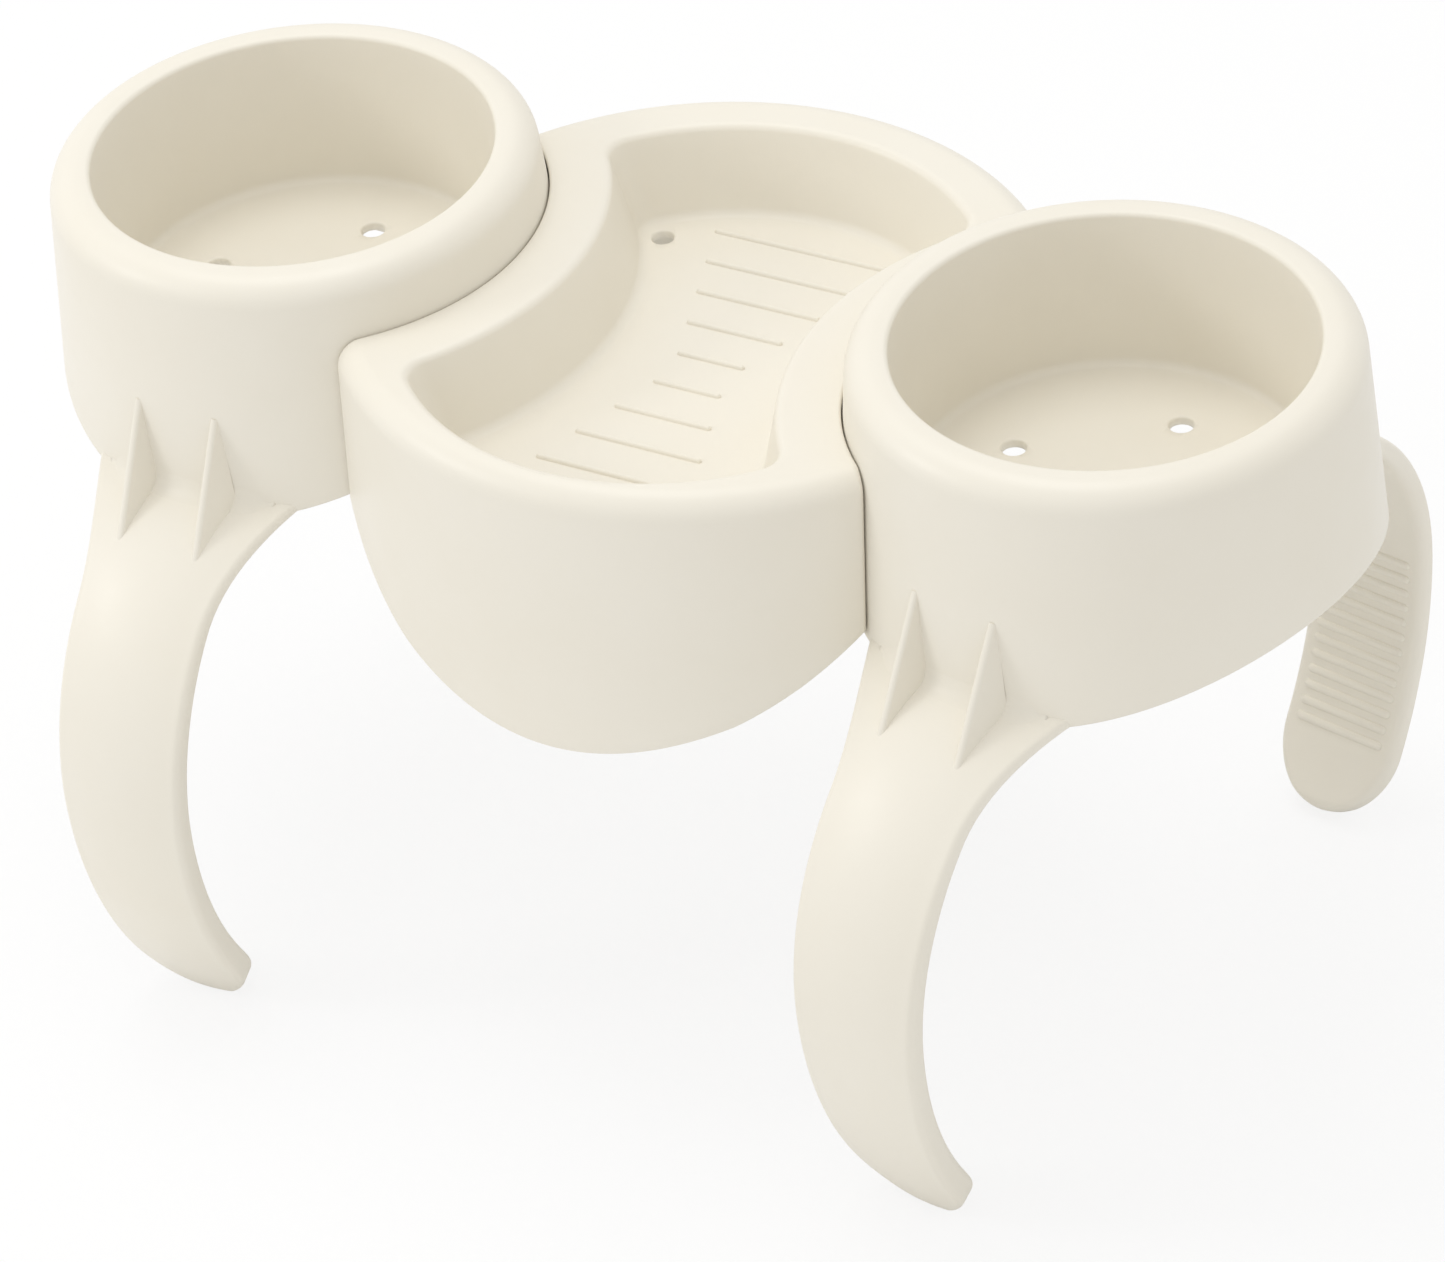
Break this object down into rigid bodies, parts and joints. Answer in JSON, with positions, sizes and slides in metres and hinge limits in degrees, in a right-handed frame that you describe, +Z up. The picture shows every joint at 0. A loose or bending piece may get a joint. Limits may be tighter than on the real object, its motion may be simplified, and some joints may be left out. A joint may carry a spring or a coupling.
{
  "type": "hot tub tray",
  "caption": "Clip-on tray for the wall of an inflatable hot tub, with a cup holder on either side of a shallow snack tray.",
  "frame": {"origin": "on the ground that the claws and paddles stand on, under the middle of the snack tray", "axes": "+X along the row of cups, from the left holder to the right one; +Y from the front claws to the rear paddles; +Z up"},
  "size_m": [0.3689, 0.2395, 0.215],
  "materials": {
    "left_holder_plastic": "fine matt moulded grain, ivory",
    "right_holder_plastic": "fine matt moulded grain, ivory",
    "tray_plastic": "fine matt moulded grain, ivory"
  },
  "bodies": {
    "tray": {"snack_tray": "tray_plastic"},
    "left_holder": {"left_cup_holder": "left_holder_plastic"},
    "right_holder": {"right_cup_holder": "right_holder_plastic"}
  },
  "joints": [
    {"name": "left_swivel", "type": "hinge", "parent": "tray", "child": "left_holder", "pos_m": [-0.1165, 0, 0.18], "axis": [0, 0, 1], "range_deg": [-11, 13]},
    {"name": "right_swivel", "type": "hinge", "parent": "tray", "child": "right_holder", "pos_m": [0.1165, 0, 0.18], "axis": [0, 0, 1], "range_deg": [-1.5, 22.5]}
  ]
}
